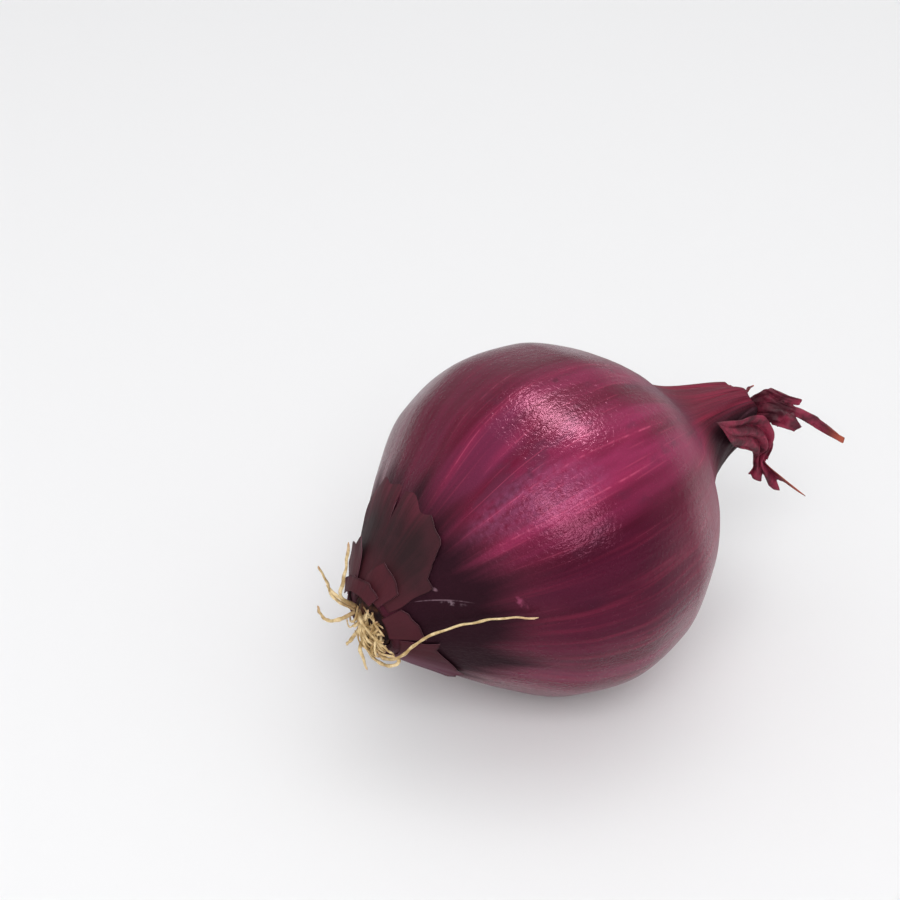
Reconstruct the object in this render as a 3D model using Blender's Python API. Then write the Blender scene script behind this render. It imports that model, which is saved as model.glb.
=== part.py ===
"""A red onion lying on its side, its neck along +X, resting on a small flat at the origin.

Lengths here are millimetres and the finished meshes are metres. A place on the bulb is given by
its distance s along the onion's own axis, from the root plate (0) to the end of the neck, and by
its angle round that axis: 0 is the upper side, 90 the -Y side and 180 the underside.
"""

import math
import random

import bmesh
import bpy
import numpy as np

MM = 0.001

# Driving dimensions
BULB_RADIUS = 39.0
AXIS_LENGTH = 104.0
NECK_TILT = math.radians(7.0)
FLAT_DEPTH = 0.8
DRY_SKIN = 0.6
DRY_LEAF = 0.7
ROOT_RADIUS = 0.5

# Bulb and neck: share of the axis length, share of the bulb radius
PROFILE = np.array([
    (0.000, 0.190), (0.038, 0.305), (0.096, 0.455), (0.192, 0.700), (0.308, 0.923),
    (0.423, 1.000), (0.538, 0.954), (0.635, 0.818), (0.712, 0.630), (0.769, 0.430),
    (0.827, 0.312), (0.904, 0.228), (0.962, 0.185), (1.000, 0.159),
])
STATION = PROFILE[:, 0] * AXIS_LENGTH
STATION_RADIUS = PROFILE[:, 1] * BULB_RADIUS
SECTORS = 72
RIBS = 12
RIB_HEIGHT = 0.2
NECK_START = 0.74 * AXIS_LENGTH
NECK_FOLDS = 7
NECK_FOLD_DEPTH = 0.35
NECK_ARCH = np.array([0.0, 0.0, 5.2])
NECK_DIP = np.array([0.0, -0.5, -0.5])

# Hollow under the root plate, cup in the end of the neck, and the bend of the scrap beside it
DISH_RADIUS = 5.9
DISH_DEPTH = 1.6
LIP_BACK = 0.8
CUP_RADIUS = 4.6
CUP_FLOOR_RADIUS = 3.8
CUP_DEPTH = 7.0
LEAF_CURVE = 9.0

# Roots
PLATE_RADIUS = 5.6
PLATE_INNER = 1.2
PLATE_DOME = 1.8
PLATE_SECTORS = 20
MAT_ROOTS = 26
MAT_SEED = 2
MAT_FOOT_RADIUS = 4.3
ROOT_SIDES = 5
GOLDEN_ANGLE = math.radians(137.5)

# Torn skin: gap under it, gap between layers, how far its free edge lifts for each mm that it
# reaches, rows from its root to its free edge, and degrees between its columns
SKIN_GAP = 0.45
LAYER_GAP = 0.5
SKIN_CURL = 0.02
SKIN_ROWS = 5
COLUMN_STEP = 7.0

# Colours, as 8-bit sRGB
BULB_COLOUR = (112, 36, 62)
TORN_COLOUR = (66, 32, 40)
SCALE_COLOUR = (84, 36, 46)
ROOT_COLOUR = (202, 183, 139)
LEAF_COLOUR = (92, 30, 44)


def linear(colour):
    """The linear colour of an 8-bit sRGB one, with full opacity."""
    share = np.array(colour) / 255.0
    return (*np.where(share <= 0.04045, share / 12.92, ((share + 0.055) / 1.055) ** 2.4), 1.0)


def material(name, colour, roughness):
    """A plain material with the part's colour and roughness."""
    made = bpy.data.materials.new(name)
    made.use_nodes = True
    shader = made.node_tree.nodes["Principled BSDF"]
    shader.inputs["Base Color"].default_value = linear(colour)
    shader.inputs["Roughness"].default_value = roughness
    shader.inputs["Metallic"].default_value = 0.0
    made.diffuse_color = linear(colour)
    return made


def new_object(name, mesh, finish):
    """An object in the scene for a bmesh, shaded smooth, with its material."""
    bmesh.ops.recalc_face_normals(mesh, faces=mesh.faces)
    data = bpy.data.meshes.new(name)
    mesh.to_mesh(data)
    mesh.free()
    data.shade_smooth()
    data.materials.append(finish)
    made = bpy.data.objects.new(name, data)
    bpy.context.scene.collection.objects.link(made)
    return made


def monotone_slopes(x, y):
    """Slopes of a smooth curve through the points that never overshoots them."""
    step = np.diff(x)
    rise = np.diff(y) / step
    slopes = np.zeros_like(y)
    slopes[0] = rise[0]
    slopes[-1] = rise[-1]
    for k in range(1, len(x) - 1):
        if rise[k - 1] * rise[k] > 0:
            before = 2 * step[k] + step[k - 1]
            after = step[k] + 2 * step[k - 1]
            slopes[k] = (before + after) / (before / rise[k - 1] + after / rise[k])
    return slopes


STATION_SLOPE = monotone_slopes(STATION, STATION_RADIUS)


def radius_at(s):
    """The bulb's radius at s: cubic stretches between the stations, straight before the first."""
    inside = np.clip(s, 0.0, AXIS_LENGTH)
    k = np.clip(np.searchsorted(STATION, inside) - 1, 0, len(STATION) - 2)
    step = STATION[k + 1] - STATION[k]
    t = (inside - STATION[k]) / step
    here = (1 + 2 * t) * (1 - t) ** 2 * STATION_RADIUS[k] + t * (1 - t) ** 2 * step * STATION_SLOPE[k]
    there = t * t * (3 - 2 * t) * STATION_RADIUS[k + 1] - t * t * (1 - t) * step * STATION_SLOPE[k + 1]
    return here + there + STATION_SLOPE[0] * np.minimum(s, 0.0)


AXIS = np.array([math.cos(NECK_TILT), 0.0, math.sin(NECK_TILT)])
UPPER = np.array([-math.sin(NECK_TILT), 0.0, math.cos(NECK_TILT)])
NEAR = np.array([0.0, -1.0, 0.0])


def neck_share(s):
    """How far along the neck s lies: 0 up to its start and 1 at its end."""
    return np.clip((s - NECK_START) / (AXIS_LENGTH - NECK_START), 0.0, 1.0)


def around(s, angle, radius):
    """The point at s along the axis, at an angle and a radius round it, from the root plate."""
    neck = neck_share(s)
    out = np.multiply.outer(np.cos(angle) * radius, UPPER) + np.multiply.outer(np.sin(angle) * radius, NEAR)
    bend = np.multiply.outer(neck * (1 - neck), NECK_ARCH) + np.multiply.outer(neck ** 2, NECK_DIP)
    return np.multiply.outer(s, AXIS) + out + bend


def skin_radius(s, angle):
    """The radius with the bulb's slight lobes, its ribs and the folds of its neck."""
    radius = radius_at(s)
    lobes = 1 - 0.008 * np.cos(2 * angle) - 0.004 * np.cos(3 * angle)
    ribs = RIB_HEIGHT * radius / BULB_RADIUS * np.cos(RIBS * angle)
    folds = NECK_FOLD_DEPTH * neck_share(s) * np.sin(NECK_FOLDS * angle + 0.12 * s)
    return radius * lobes + ribs + folds


def rest_offset():
    """Where the root plate lies, so that the underside dips FLAT_DEPTH below the origin."""
    s = np.linspace(0.0, AXIS_LENGTH, 1041)
    below = np.full_like(s, math.pi)
    under = around(s, below, skin_radius(s, below))
    lowest = under[under[:, 2].argmin()]
    return np.array([-lowest[0], 0.0, -lowest[2] - FLAT_DEPTH])


ROOT_END = rest_offset()


def at(s, degrees, radius):
    """A point round the onion's axis, in the part's frame."""
    return ROOT_END + around(s, math.radians(degrees), radius)


def skin(s, angle, lift):
    """A point over the skin, lifted off it and leaning back where the bulb widens."""
    slope = (radius_at(s + 0.1) - radius_at(s - 0.1)) / 0.2
    lean = -0.45 * slope
    length = np.sqrt(1 + lean * lean)
    return ROOT_END + around(s + lift * lean / length, angle, skin_radius(s, angle) + lift / length)


def smooth_path(points, steps):
    """Points of an even curve through the given ones, with steps between each two."""
    points = np.asarray(points, float)
    padded = np.vstack([2 * points[0] - points[1], points, 2 * points[-1] - points[-2]])
    path = []
    for a, b, c, d in zip(padded, padded[1:], padded[2:], padded[3:]):
        for t in np.arange(steps) / steps:
            path.append(0.5 * (2 * b + (c - a) * t + (2 * a - 5 * b + 4 * c - d) * t * t
                               + (3 * b - a - 3 * c + d) * t ** 3))
    return np.array(path + [points[-1]])


def loft(name, loops, finish):
    """A closed body through loops of equally many points, with a flat face on each end."""
    mesh = bmesh.new()
    rings = [[mesh.verts.new(point * MM) for point in loop] for loop in loops]
    for ring, after in zip(rings, rings[1:]):
        for k in range(len(ring)):
            mesh.faces.new((ring[k - 1], ring[k], after[k], after[k - 1]))
    mesh.faces.new(rings[0])
    mesh.faces.new(rings[-1])
    return new_object(name, mesh, finish)


def sheet(name, columns, thickness, finish):
    """A thin body over a grid of points, half its thickness to each side."""
    mesh = bmesh.new()
    grid = [[mesh.verts.new(point * MM) for point in column] for column in columns]
    for left, right in zip(grid, grid[1:]):
        for k in range(1, len(left)):
            mesh.faces.new((left[k - 1], left[k], right[k], right[k - 1]))
    bmesh.ops.triangulate(mesh, faces=mesh.faces)
    made = new_object(name, mesh, finish)
    thicken = made.modifiers.new("Thickness", "SOLIDIFY")
    thicken.thickness = thickness * MM
    thicken.offset = 0.0
    return made


def fuse(body, pieces):
    """Join the pieces to the body as one closed shape."""
    group = bpy.data.collections.new("pieces to fuse")
    for piece in pieces:
        group.objects.link(piece)
    union = body.modifiers.new("Union", "BOOLEAN")
    union.operation = "UNION"
    union.operand_type = "COLLECTION"
    union.collection = group
    joined = bpy.data.meshes.new_from_object(body.evaluated_get(bpy.context.evaluated_depsgraph_get()))
    body.modifiers.clear()
    body.data = joined
    for piece in pieces:
        bpy.data.objects.remove(piece)
    bpy.data.collections.remove(group)


def bulb(finish):
    """The bulb and neck as one body: dish, skin, ragged lip, cup, and the flat that it rests on."""
    angle = np.arange(SECTORS) * 2 * math.pi / SECTORS
    stations = np.concatenate([
        np.linspace(0.0, 10.0, 5), np.linspace(14.0, 66.0, 14), np.linspace(69.0, 99.0, 11)])
    ragged = AXIS_LENGTH - LIP_BACK + 0.7 * np.sin(3 * angle) + 0.4 * np.sin(7 * angle + 1.0)
    rings = [(np.full(SECTORS, DISH_DEPTH), np.full(SECTORS, DISH_RADIUS)),
             (np.zeros(SECTORS), np.full(SECTORS, DISH_RADIUS + 0.2))]
    rings += [(np.full(SECTORS, s), skin_radius(np.full(SECTORS, s), angle)) for s in stations]
    rings += [(ragged, skin_radius(ragged, angle)),
              (ragged - 0.4, np.full(SECTORS, CUP_RADIUS)),
              (np.full(SECTORS, AXIS_LENGTH - CUP_DEPTH), np.full(SECTORS, CUP_FLOOR_RADIUS))]
    made = loft("bulb", [ROOT_END + around(s, angle, radius) for s, radius in rings], finish)
    mesh = bmesh.new()
    mesh.from_mesh(made.data)
    cut = bmesh.ops.bisect_plane(mesh, geom=[*mesh.verts, *mesh.edges, *mesh.faces],
                                 plane_co=(0, 0, 0), plane_no=(0, 0, 1), clear_inner=True)
    rim = [part for part in cut["geom_cut"] if isinstance(part, bmesh.types.BMEdge)]
    bmesh.ops.contextual_create(mesh, geom=rim)
    bmesh.ops.recalc_face_normals(mesh, faces=mesh.faces)
    mesh.to_mesh(made.data)
    mesh.free()
    made.data.set_sharp_from_angle(angle=math.radians(50))


def root(path, finish):
    """One root: a thin tapering tube along its path."""
    heading = np.gradient(path, axis=0)
    heading /= np.linalg.norm(heading, axis=1, keepdims=True)
    side = np.cross(heading[0], (0.3, 0.5, 0.8))
    turns = np.arange(ROOT_SIDES) * 2 * math.pi / ROOT_SIDES
    loops = []
    for k, (point, ahead) in enumerate(zip(path, heading)):
        side = side - ahead * (side @ ahead)
        side /= np.linalg.norm(side)
        thickness = ROOT_RADIUS * (1.1 - 0.45 * k / len(path))
        over = np.cross(ahead, side)
        loops.append(point + thickness * (np.outer(np.cos(turns), side) + np.outer(np.sin(turns), over)))
    return loft("root", loops, finish)


def mat_root(index, chance):
    """The path of a short root of the mat: out of the plate, over and a little aside."""
    bearing = index * GOLDEN_ANGLE + chance.uniform(-0.3, 0.3)
    foot = MAT_FOOT_RADIUS * math.sqrt((index + 0.5) / MAT_ROOTS)
    height = chance.uniform(2.0, 3.6)
    spread = chance.uniform(0.5, 2.6)
    twist = chance.uniform(-0.9, 0.9)
    return [ROOT_END + around(-0.6 - height * math.sin(0.7 * math.pi * t), bearing + twist * t,
                              foot + spread * t) for t in np.linspace(0.0, 1.0, 6)]


def stray_roots():
    """The roots that leave the mat, each as (s, degrees, radius) points chosen by hand."""
    upward = [(-1.2, -70, 4.5), (-3.8, -38, 7.5), (-4.2, -10, 12), (-3.6, 0, 18), (-3.2, 4, 25)]
    beside = [(-1.2, -80, 4.5), (-3.7, -68, 8.3), (-4.5, -48, 11.8), (-5.0, -38, 15.5)]
    short = [(-1.2, -62, 4.4), (-3.6, -60, 8.5), (-4.0, -58, 11.5)]
    hook = [(-1.2, -88, 4.5), (-3.5, -104, 6.5), (-5.5, -108, 9), (-6.6, -97, 9.8), (-7.0, -82, 10.2)]
    low = [(-1.2, -135, 4.5), (-3.2, -145, 9), (-4.0, -146, 11.2)]
    down = [(-1.2, -152, 4.5), (-3.0, -166, 8.5), (-3.2, -180, 12.6)]
    along = [(-1.2, 150, 4.2), (-2.4, 128, 7.4), (-1.2, 104, 10.4), (1.2, 86, 12.5), (4.4, 75, 15.6),
             (10.0, 72, 19.9), (15.5, 72, 25.1), (21.0, 74, 30.3)]
    for route in (upward, beside, short, hook, low, down, along):
        yield smooth_path([at(*place) for place in route], 2)


def root_tuft(finish):
    """The root plate in its dish, with the mat of roots and the strays, fused into one body."""
    angle = np.arange(PLATE_SECTORS) * 2 * math.pi / PLATE_SECTORS
    dome = [(PLATE_INNER, PLATE_RADIUS), (0.2, PLATE_RADIUS), (-0.45 * PLATE_DOME, 0.9 * PLATE_RADIUS),
            (-0.85 * PLATE_DOME, 0.55 * PLATE_RADIUS), (-PLATE_DOME, 0.18 * PLATE_RADIUS)]
    rings = [ROOT_END + around(np.full(PLATE_SECTORS, s), angle, radius) for s, radius in dome]
    plate = loft("root_tuft", rings, finish)
    chance = random.Random(MAT_SEED)
    paths = [np.array(mat_root(index, chance)) for index in range(MAT_ROOTS)] + list(stray_roots())
    fuse(plate, [root(path, finish) for path in paths])


def torn_skin(name, edge, start, layer, curl, finish):
    """A scrap of dry skin from start along the axis; edge lists (degrees, how far it reaches)."""
    columns = [edge[0]]
    for (angle, reach), (next_angle, next_reach) in zip(edge, edge[1:]):
        count = max(1, round((next_angle - angle) / COLUMN_STEP))
        for share in np.arange(1, count + 1) / count:
            columns.append((angle + (next_angle - angle) * share, reach + (next_reach - reach) * share))
    across = np.linspace(0.0, 1.0, SKIN_ROWS)
    lift = SKIN_GAP + DRY_SKIN / 2 + layer
    grid = []
    for degrees, reach in columns:
        s = start + (reach - start) * across
        grid.append(skin(s, np.full(SKIN_ROWS, math.radians(degrees)), lift + curl * reach * across ** 3))
    sheet(name, grid, DRY_SKIN, finish)


def torn_skins(finish):
    """The large scraps that lie on the bulb, each as (start, edge); the first has a slit."""
    scraps = [
        (0.8, [(-75, 14), (-58, 16.5), (-40, 18), (-24, 17.5), (-17, 10.2), (-13, 17.5), (0, 16.5),
               (18, 14.4), (26, 13.4), (31, 10.4), (37, 8.6), (44, 8.4)]),
        (-0.6, [(48, 2.6), (56, 3.4), (66, 3.9), (76, 4.2), (86, 4.6)]),
        (0.8, [(90, 6.2), (98, 6.2), (106, 7.0), (116, 8.6), (127, 10.7), (133, 9.6), (144, 11.4),
               (152, 10.2)]),
        (0.8, [(160, 7.5), (172, 9.5), (184, 8), (197, 10.5), (215, 8.5)]),
        (0.8, [(222, 11), (236, 15), (246, 13), (262, 16), (278, 12.5)]),
    ]
    for number, (start, edge) in enumerate(scraps, 1):
        torn_skin(f"torn_skin_{number}", edge, start, 0.0, SKIN_CURL, finish)


def root_scales(finish):
    """The small stiff scraps over the torn skin, each as (layer, start, curl, edge)."""
    scales = [
        (1, -0.2, 0.10, [(-72, 4.6), (-60, 6.6), (-48, 6.2), (-38, 6.6), (-30, 4.8)]),
        (1, -0.2, 0.05, [(-12, 3.8), (2, 4.8), (18, 4.4), (32, 3.4)]),
        (1, -0.2, 0.05, [(172, 4.2), (190, 5.2), (205, 4.4), (226, 5.0)]),
        (1, -0.2, 0.08, [(236, 5.4), (252, 6.4), (264, 5.2), (276, 5.8)]),
        (2, -1.0, 0.10, [(-58, 0.9), (-40, 1.3), (-20, 1.0), (0, 1.3), (22, 0.9)]),
    ]
    for number, (layer, start, curl, edge) in enumerate(scales, 1):
        torn_skin(f"root_scale_{number}", edge, start, layer * (DRY_SKIN + LAYER_GAP), curl, finish)


def leaf_from_mouth(name, base, mouth, fringe, finish):
    """A dry leaf end out of the neck's cup; fringe holds the last points of each of its columns."""
    columns = []
    for share, ends in zip(np.linspace(0.0, 1.0, len(fringe)), fringe):
        stem = [np.array(edges[0]) + (np.array(edges[1]) - np.array(edges[0])) * share
                for edges in (base, mouth)]
        columns.append(smooth_path([*stem, *ends], 2))
    sheet(name, columns, DRY_LEAF, finish)


def withered_leaf_upper(finish):
    """The leaf end that leaves the neck's mouth and splits into a thin, a long and a blunt finger."""
    fringe = [
        [(59.8, -4.8, 51.2), (61.0, -6.2, 51.2), (62.6, -7.6, 50.6)],
        [(60.2, -5.2, 50.6), (63.4, -8.0, 49.6), (66.4, -10.2, 48.4)],
        [(60.4, -5.6, 49.6), (63.2, -8.2, 48.6), (66.0, -10.4, 47.3)],
        [(60.4, -6.2, 49.0), (61.8, -7.6, 48.6), (63.2, -9.0, 48.0)],
        [(60.6, -7.0, 48.2), (68.2, -12.8, 44.8), (75.0, -17.0, 38.0)],
        [(60.6, -7.6, 47.2), (67.2, -12.6, 43.2), (74.6, -16.8, 36.9)],
        [(60.4, -8.0, 46.6), (62.2, -9.6, 46.2), (63.6, -10.8, 45.6)],
        [(60.2, -8.4, 46.2), (62.4, -11.0, 45.6), (64.0, -13.2, 43.6)],
        [(59.4, -8.2, 44.8), (60.8, -10.4, 43.8), (62.4, -12.6, 42.3)],
        [(58.8, -6.6, 43.8), (59.4, -7.8, 43.6), (60.2, -9.2, 43.2)],
    ]
    leaf_from_mouth("withered_leaf_upper", ((52, -1.6, 47.6), (52, -1.6, 43.2)),
                    ((57.2, -2.0, 48.0), (57.2, -2.6, 42.6)), fringe, finish)


def withered_leaf_inner(finish):
    """The dry stump that stands in the neck's mouth, on its far side."""
    fringe = [[(61.2, 1.2, 48.6)], [(63.2, 1.8, 47.4)], [(60.8, 2.2, 45.8)], [(62.4, 2.0, 44.0)],
              [(60.2, 1.2, 42.8)]]
    leaf_from_mouth("withered_leaf_inner", ((52, 0.9, 47.4), (52, 0.9, 43.4)),
                    ((57.2, 1.0, 47.8), (57.2, 1.0, 42.4)), fringe, finish)


def withered_leaf_lower(finish):
    """The scrap peeled off the neck: flat on its side, then hanging in a strip with a torn end."""
    rows = [((39.0, -9.8, 53.0), (39.8, -11.0, 51.8)), ((43.0, -9.6, 51.6), (42.0, -11.9, 47.8)),
            ((47.0, -9.2, 50.0), (45.2, -11.2, 44.6)), ((51.0, -8.6, 49.2), (49.0, -10.4, 42.0)),
            ((55.0, -8.6, 47.4), (52.2, -9.8, 39.6)), ((58.0, -10.2, 43.0), (53.6, -8.8, 38.0)),
            ((58.2, -10.4, 39.7), (53.9, -8.4, 37.0)), ((57.0, -10.0, 36.8), (54.2, -8.4, 35.4)),
            ((57.2, -10.2, 34.2), (54.6, -8.4, 33.6))]
    ends = [(65.4, -15.9, 25.6), (60.6, -12.4, 29.6), (60.2, -12.3, 26.9), (58.3, -10.9, 27.7),
            (57.2, -10.2, 31.9), (56.6, -9.6, 29.5), (54.8, -8.3, 30.5), (53.9, -7.7, 31.8)]
    columns = [[] for _ in ends]
    for upper, lower in rows:
        upper, lower = np.array(upper), np.array(lower)
        middle = (upper + lower) / 2
        outward = middle - ROOT_END - AXIS * ((middle - ROOT_END) @ AXIS)
        outward /= np.linalg.norm(outward)
        half = np.linalg.norm(lower - upper) / 2
        bulge = LEAF_CURVE - math.sqrt(LEAF_CURVE ** 2 - half * half)
        for column, share in zip(columns, np.linspace(0.0, 1.0, len(ends))):
            column.append(upper + (lower - upper) * share + outward * bulge * 4 * share * (1 - share))
    fringe = [np.array([*column, end]) for column, end in zip(columns, ends)]
    sheet("withered_leaf_lower", fringe, DRY_LEAF, finish)


def main():
    for old in list(bpy.data.objects):
        bpy.data.objects.remove(old)
    torn = material("torn skin", TORN_COLOUR, 0.75)
    leaf = material("withered leaf", LEAF_COLOUR, 0.75)
    bulb(material("bulb skin", BULB_COLOUR, 0.4))
    root_tuft(material("root", ROOT_COLOUR, 0.75))
    torn_skins(torn)
    root_scales(material("root scale", SCALE_COLOUR, 0.75))
    withered_leaf_upper(leaf)
    withered_leaf_inner(leaf)
    withered_leaf_lower(leaf)


main()
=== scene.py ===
"""The looks of a red onion that lies on its side.

Lengths are millimetres until a mesh is made. A place on the bulb is given by its distance s along
the onion's own axis, from the root plate (0) to the end of the neck (104), and by its angle round
that axis: 0 is the upper side, 90 the side that the camera sees, 180 the underside.
"""

import math

import bpy
import numpy as np
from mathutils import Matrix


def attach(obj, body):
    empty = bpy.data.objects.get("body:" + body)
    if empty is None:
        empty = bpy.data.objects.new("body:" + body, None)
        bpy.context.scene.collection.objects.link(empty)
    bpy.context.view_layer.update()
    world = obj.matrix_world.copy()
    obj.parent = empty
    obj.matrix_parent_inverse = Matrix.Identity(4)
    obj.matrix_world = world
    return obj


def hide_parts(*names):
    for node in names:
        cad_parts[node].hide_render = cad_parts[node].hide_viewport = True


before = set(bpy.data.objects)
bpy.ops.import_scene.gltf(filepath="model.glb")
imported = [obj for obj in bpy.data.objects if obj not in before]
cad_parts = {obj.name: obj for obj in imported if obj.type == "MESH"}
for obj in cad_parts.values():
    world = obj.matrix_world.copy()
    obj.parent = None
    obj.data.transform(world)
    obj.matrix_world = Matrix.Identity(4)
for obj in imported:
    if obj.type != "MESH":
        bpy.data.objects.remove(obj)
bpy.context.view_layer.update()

MM = 0.001
BULB_RADIUS = 39.0
AXIS_LENGTH = 104.0
NECK_TILT = math.radians(7.0)
NECK_START = 0.74 * AXIS_LENGTH
NECK_ARCH = np.array([0.0, 0.0, 5.2])
NECK_DIP = np.array([0.0, -0.5, -0.5])
ROOT_END = np.array([-46.33, 0.0, 32.716])
AXIS = np.array([math.cos(NECK_TILT), 0.0, math.sin(NECK_TILT)])
UPPER = np.array([-math.sin(NECK_TILT), 0.0, math.cos(NECK_TILT)])
NEAR = np.array([0.0, -1.0, 0.0])

# Bulb and neck: share of the axis length, share of the bulb radius
PROFILE = np.array([
    (0.000, 0.190), (0.038, 0.305), (0.096, 0.455), (0.192, 0.700), (0.308, 0.923),
    (0.423, 1.000), (0.538, 0.954), (0.635, 0.818), (0.712, 0.630), (0.769, 0.430),
    (0.827, 0.312), (0.904, 0.228), (0.962, 0.185), (1.000, 0.159),
])
STATION = PROFILE[:, 0] * AXIS_LENGTH
STATION_RADIUS = PROFILE[:, 1] * BULB_RADIUS

RIPPLE_SINES = 5
BULB_SECTORS = 300
BULB_ROWS = 296
SKIN_THICKNESS = 0.16
LEAF_THICKNESS = 0.2
FREE_ALL_ROUND = -1000.0
ROOT_SIDES = 9
PLATE_SIDES = 64
PLATE_RADIUS = 5.6

MAT_ROOTS = 66
MAT_RADIUS = 4.8
MAT_REACH = 7.4
GOLDEN_ANGLE = math.radians(137.5)
STRAY_RADIUS = 0.38
LONG_ROOT_RADIUS = 0.42
ROOT_STEPS = 24
CUP_DEPTH = 7.0
TEETH = 120


# Shape of the bulb

def monotone_slopes(x, y):
    """Slopes of a smooth curve through the points that never overshoots them."""
    step = np.diff(x)
    rise = np.diff(y) / step
    slopes = np.concatenate([rise[:1], np.zeros(len(x) - 2), rise[-1:]])
    before, after = 2 * step[1:] + step[:-1], step[1:] + 2 * step[:-1]
    level = rise[:-1] * rise[1:] <= 0
    safe = np.where(rise == 0, 1.0, rise)
    slopes[1:-1] = np.where(level, 0.0, (before + after) / (before / safe[:-1] + after / safe[1:]))
    return slopes


STATION_SLOPE = monotone_slopes(STATION, STATION_RADIUS)


def radius_at(s):
    """The bulb's radius at s: cubic stretches between the stations, straight before the first."""
    inside = np.clip(s, 0.0, AXIS_LENGTH)
    k = np.clip(np.searchsorted(STATION, inside) - 1, 0, len(STATION) - 2)
    step = STATION[k + 1] - STATION[k]
    t = (inside - STATION[k]) / step
    here = (1 + 2 * t) * (1 - t) ** 2 * STATION_RADIUS[k] + t * (1 - t) ** 2 * step * STATION_SLOPE[k]
    there = t * t * (3 - 2 * t) * STATION_RADIUS[k + 1] - t * t * (1 - t) * step * STATION_SLOPE[k + 1]
    return here + there + STATION_SLOPE[0] * np.minimum(s, 0.0)


def neck_share(s):
    """How far along the neck s lies: 0 up to its start and 1 at its end."""
    return np.clip((s - NECK_START) / (AXIS_LENGTH - NECK_START), 0.0, 1.0)


def around(s, angle, radius):
    """The point at s along the axis, at an angle and a radius round it, in the row frame."""
    s, angle, radius = np.broadcast_arrays(s, angle, radius)
    neck = neck_share(s)
    out = np.multiply.outer(np.cos(angle) * radius, UPPER) + np.multiply.outer(np.sin(angle) * radius, NEAR)
    bend = np.multiply.outer(neck * (1 - neck), NECK_ARCH) + np.multiply.outer(neck ** 2, NECK_DIP)
    return ROOT_END + np.multiply.outer(s, AXIS) + out + bend


def skin_radius(s, angle):
    """radius * (1 - .008 cos 2a - .004 cos 3a) + ribs .2 cos 12a + neck folds .35 sin(7a + .12 s)."""
    radius = radius_at(s)
    lobes = 1 - 0.008 * np.cos(2 * angle) - 0.004 * np.cos(3 * angle)
    ribs = 0.2 * radius / BULB_RADIUS * np.cos(12 * angle)
    folds = 0.35 * neck_share(s) * np.sin(7 * angle + 0.12 * s)
    return radius * lobes + ribs + folds


def skin(s, angle, lift):
    """A point over the skin, lifted off it and leaning back where the bulb widens."""
    slope = (radius_at(s + 0.1) - radius_at(s - 0.1)) / 0.2
    lean = -0.45 * slope
    length = np.sqrt(1 + lean * lean)
    return around(s + lift * lean / length, angle, skin_radius(s, angle) + lift / length)


def ripple(x, seed):
    """Smooth unevenness between about -1 and 1: a sum of sines with seeded pitches and phases."""
    chance = np.random.default_rng(seed)
    pitch = chance.uniform(0.5, 1.9, RIPPLE_SINES)
    phase = chance.uniform(0, 2 * math.pi, RIPPLE_SINES)
    return np.sin(np.multiply.outer(x, pitch) + phase).sum(-1) / math.sqrt(RIPPLE_SINES)


# Meshes

def grid_quads(rows, columns, closed=False):
    """The quads of a grid of points, row after row; the last column joins the first if closed."""
    index = np.arange(rows * columns).reshape(rows, columns)
    if closed:
        index = np.hstack([index, index[:, :1]])
    return np.stack([index[:-1, :-1], index[:-1, 1:], index[1:, 1:], index[1:, :-1]], -1).reshape(-1, 4)


def new_piece(name, points, faces, finish, slot, replaced=(), **values):
    """A smooth mesh of points in millimetres, with a value at each point for each of the names."""
    mesh = bpy.data.meshes.new(name)
    mesh.from_pydata((points * MM).tolist(), [], faces)
    mesh.shade_smooth()
    mesh.materials.append(finish)
    for label, value in values.items():
        kind, key = ("FLOAT_VECTOR", "vector") if value.ndim == 2 else ("FLOAT", "value")
        layer = mesh.attributes.new(label, kind, "POINT")
        layer.data.foreach_set(key, value.astype(np.float32).ravel())
    piece = bpy.data.objects.new(name, mesh)
    bpy.context.scene.collection.objects.link(piece)
    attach(piece, "root")
    if replaced:
        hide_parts(*replaced)
    return piece


def unit(vectors):
    """The vectors at length 1."""
    return vectors / np.maximum(np.linalg.norm(vectors, axis=-1, keepdims=True), 1e-9)


def shell(points, thickness):
    """Points and faces of a thin closed sheet over a grid: half the thickness to each side."""
    rows, columns = points.shape[:2]
    normal = unit(np.cross(np.gradient(points, axis=1), np.gradient(points, axis=0)))
    both = np.concatenate([(points + normal * thickness / 2).reshape(-1, 3),
                           (points - normal * thickness / 2).reshape(-1, 3)])
    front = grid_quads(rows, columns)
    back = front[:, ::-1] + rows * columns
    index = np.arange(rows * columns).reshape(rows, columns)
    border = np.concatenate([index[0], index[1:, -1], index[-1, -2::-1], index[-2:0:-1, 0]])
    after = np.roll(border, -1)
    rim = np.stack([after, border, border + rows * columns, after + rows * columns], -1)
    return both, np.concatenate([front, back, rim]).tolist()


def place(s, angle):
    """(cos a, sin a, s / bulb radius) at each point, where the skin's patterns are read."""
    s, angle = np.broadcast_arrays(s, angle)
    return np.stack([np.cos(angle), np.sin(angle), s / BULB_RADIUS], -1).reshape(-1, 3)


def smooth_path(points, steps):
    """Points of an even curve through the given ones, with steps between each two."""
    points = np.asarray(points, float)
    padded = np.concatenate([2 * points[:1] - points[1:2], points, 2 * points[-1:] - points[-2:-1]])
    a, b, c, d = padded[:-3], padded[1:-2], padded[2:-1], padded[3:]
    path = [0.5 * (2 * b + (c - a) * t + (2 * a - 5 * b + 4 * c - d) * t * t
                   + (3 * b - a - 3 * c + d) * t ** 3) for t in np.arange(steps) / steps]
    return np.concatenate([np.stack(path, 1).reshape(-1, *points.shape[1:]), points[-1:]])


# Materials

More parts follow.
